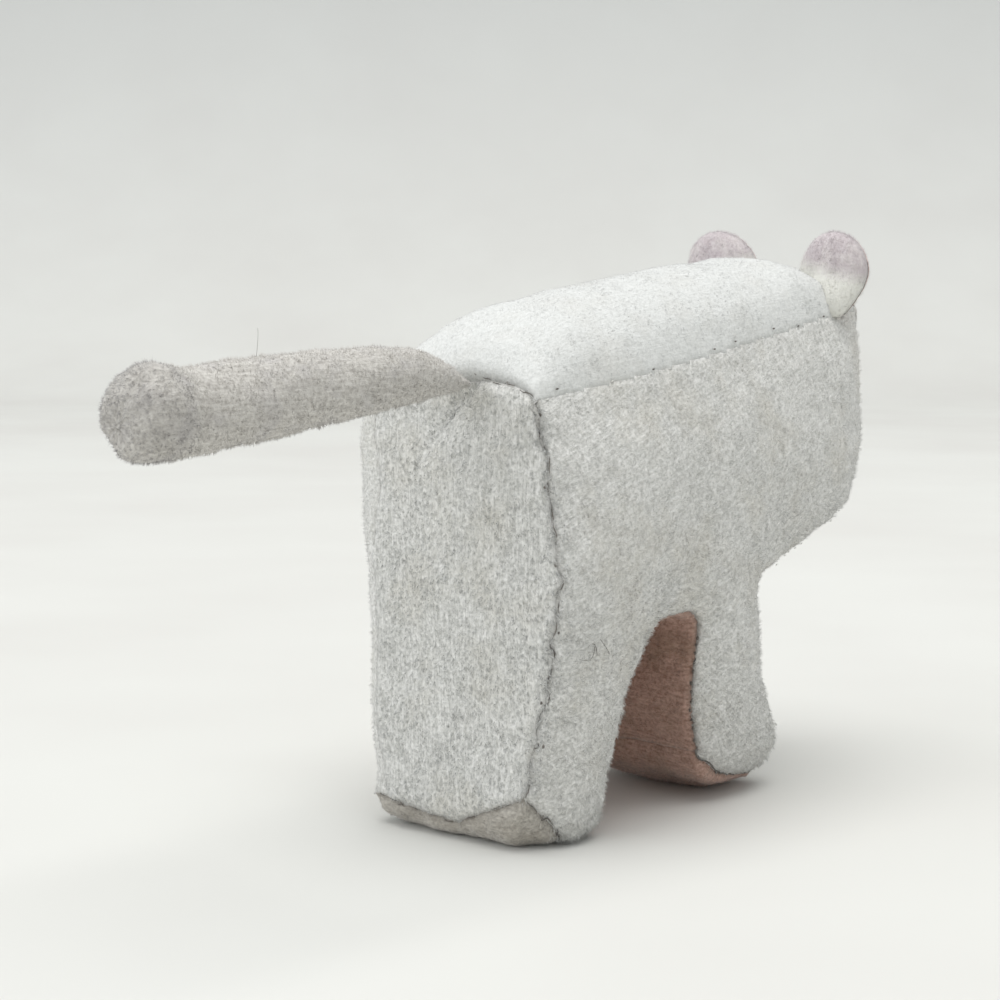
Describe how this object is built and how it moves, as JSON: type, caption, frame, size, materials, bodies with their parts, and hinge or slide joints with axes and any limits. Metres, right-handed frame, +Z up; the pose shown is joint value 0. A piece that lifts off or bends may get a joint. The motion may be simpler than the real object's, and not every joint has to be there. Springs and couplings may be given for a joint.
{
  "type": "clockwork mouse",
  "caption": "Small sewn and stuffed velvet mouse on two block legs, with a straight felt tail and a spring motor inside, wound by a key on its left side.",
  "frame": {"origin": "middle of the rear sole, on the ground, in the middle plane of the body", "axes": "+Z up; -Y is the way the mouse looks, so the tail points along +Y; +X is the mouse's left side, where the key is"},
  "size_m": [0.0359, 0.0911, 0.0559],
  "materials": {
    "white_velvet": "short cotton velvet, brushed downwards, slightly soiled",
    "pink_velvet": "short velvet, faded pink",
    "grey_velvet": "short velvet, grey-brown, worn",
    "ear_velvet": "short velvet, cream at the base and pink-grey at the rim",
    "ear_lining": "short velvet, pink-grey",
    "tail_felt": "brushed wool felt, grey-taupe",
    "stuffing": "packed cotton waste",
    "black_bead": "polished black glass",
    "nose_felt": "pink felt",
    "steel": "stamped and tumbled",
    "spring_steel": "blued strip",
    "nickel": "worn nickel plate",
    "brass": "stamped brass, dull"
  },
  "bodies": {
    "mouse": {"right_side_panel": "white_velvet", "left_side_panel": "white_velvet", "back_panel": "white_velvet", "rump_panel": "white_velvet", "face_panel": "white_velvet", "chest_panel": "white_velvet", "arch_gusset": "pink_velvet", "rear_sole": "grey_velvet", "front_sole": "pink_velvet", "right_ear": "ear_velvet", "left_ear": "ear_velvet", "right_ear_lining": "ear_lining", "left_ear_lining": "ear_lining", "right_eye": "black_bead", "left_eye": "black_bead", "nose": "nose_felt", "rump_stuffing": "stuffing", "rear_leg_stuffing": "stuffing", "front_leg_stuffing": "stuffing", "head_stuffing": "stuffing", "back_stuffing": "stuffing", "key_eyelet": "brass", "left_motor_plate": "steel", "right_motor_plate": "steel", "frame_pillars": "steel", "mainspring": "spring_steel"},
    "great_wheel": {"great_wheel": "brass"},
    "click": {"click": "steel"},
    "winding_arbor": {"winding_arbor": "steel", "ratchet_wheel": "brass", "winding_key": "nickel"},
    "second_arbor": {"second_arbor": "steel", "second_wheel": "brass"},
    "third_arbor": {"third_arbor": "steel", "third_wheel": "brass"},
    "weight_arbor": {"weight_arbor": "steel", "eccentric_weight": "brass"},
    "tail": {"tail_cover": "tail_felt", "tail_stuffing": "stuffing", "tail_wire": "steel"}
  },
  "joints": [
    {"name": "great_wheel_spin", "type": "hinge", "parent": "mouse", "child": "great_wheel", "pos_m": [0, -0.015, 0.0335], "axis": [1, 0, 0], "continuous": true},
    {"name": "key_wind", "type": "hinge", "parent": "great_wheel", "child": "winding_arbor", "pos_m": [0, -0.015, 0.0335], "axis": [1, 0, 0], "range_deg": [0, 1530], "deforming": ["mainspring"]},
    {"name": "click_lift", "type": "hinge", "parent": "great_wheel", "child": "click", "pos_m": [0, -0.0122, 0.03835], "axis": [1, 0, 0], "range_deg": [-5, 15], "stiffness_Nm_per_rad": 0.00002},
    {"name": "second_arbor_spin", "type": "hinge", "parent": "mouse", "child": "second_arbor", "pos_m": [0, -0.024, 0.0335], "axis": [1, 0, 0], "continuous": true},
    {"name": "third_arbor_spin", "type": "hinge", "parent": "mouse", "child": "third_arbor", "pos_m": [0, -0.02959, 0.03741], "axis": [1, 0, 0], "continuous": true},
    {"name": "weight_spin", "type": "hinge", "parent": "mouse", "child": "weight_arbor", "pos_m": [0, -0.03159, 0.03192], "axis": [1, 0, 0], "continuous": true},
    {"name": "tail_swing", "type": "hinge", "parent": "mouse", "child": "tail", "pos_m": [0, 0.00585, 0.0413], "axis": [1, 0, 0], "range_deg": [-60, 35], "stiffness_Nm_per_rad": 0.01, "springref_deg": 1.15}
  ],
  "couplings": [
    {"joint": "second_arbor_spin", "follows": "great_wheel_spin", "ratio": -4},
    {"joint": "third_arbor_spin", "follows": "great_wheel_spin", "ratio": 13.333},
    {"joint": "weight_spin", "follows": "great_wheel_spin", "ratio": -44.444}
  ]
}
